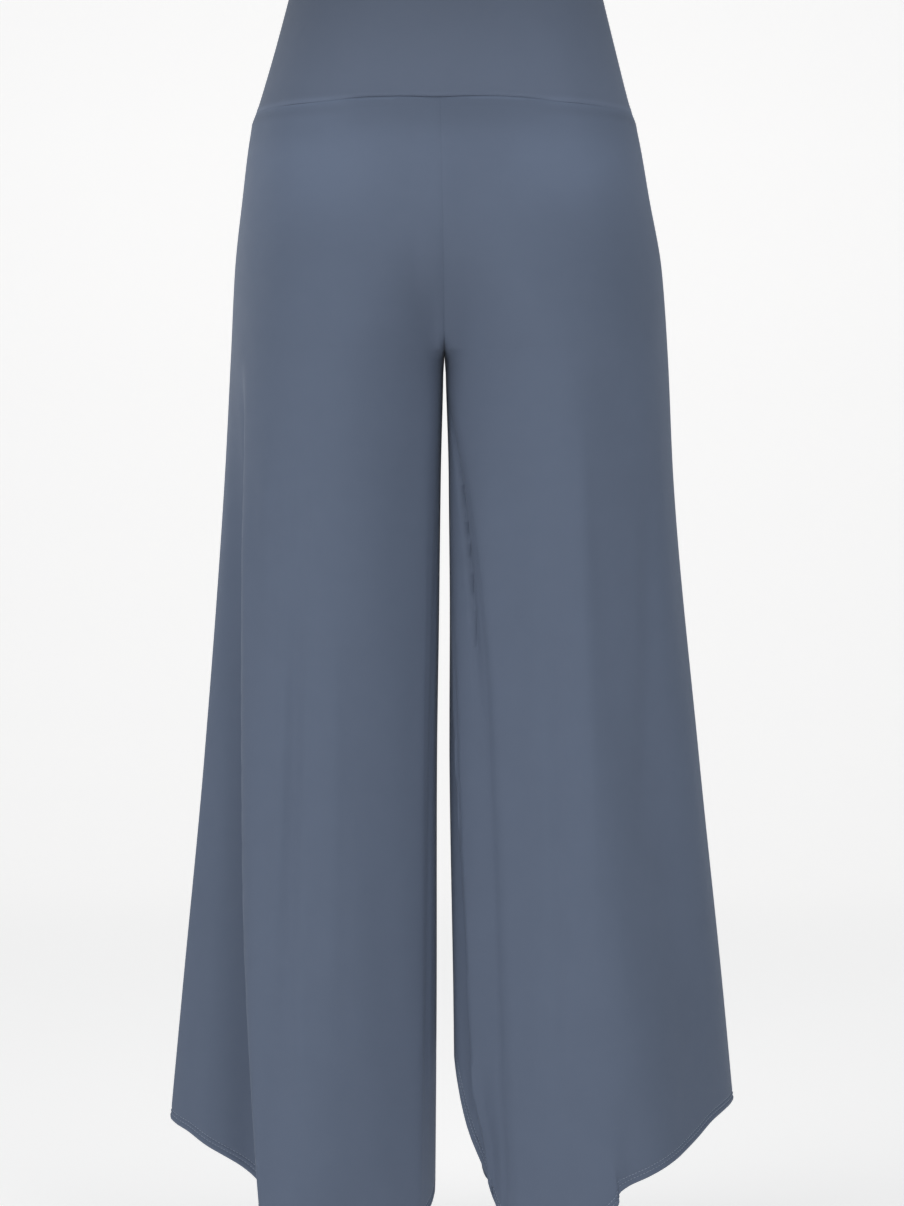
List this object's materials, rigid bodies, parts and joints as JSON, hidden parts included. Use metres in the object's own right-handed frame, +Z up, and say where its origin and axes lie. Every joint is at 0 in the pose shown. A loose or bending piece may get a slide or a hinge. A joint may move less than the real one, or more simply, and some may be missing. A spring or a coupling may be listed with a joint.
{
  "type": "palazzo pants",
  "caption": "Wide-leg pull-on jersey pants filled out as worn: deep contour waistband, flared legs and hems that curve low at the middle of each leg.",
  "frame": {"origin": "middle of the waistband's top edge, where the wearer's waist holds the garment", "axes": "+Z up, the front of the garment faces -Y, +X towards the wearer's left"},
  "size_m": [0.4836, 0.2587, 1.066],
  "materials": {
    "waistband_jersey": "smooth matt jersey knit, folded double",
    "leg_jersey": "smooth matt jersey knit with a faint sheen"
  },
  "bodies": {
    "root": {"waistband_front": "waistband_jersey", "waistband_back": "waistband_jersey", "front_right_leg": "leg_jersey", "front_left_leg": "leg_jersey", "back_right_leg": "leg_jersey", "back_left_leg": "leg_jersey"}
  },
  "joints": []
}
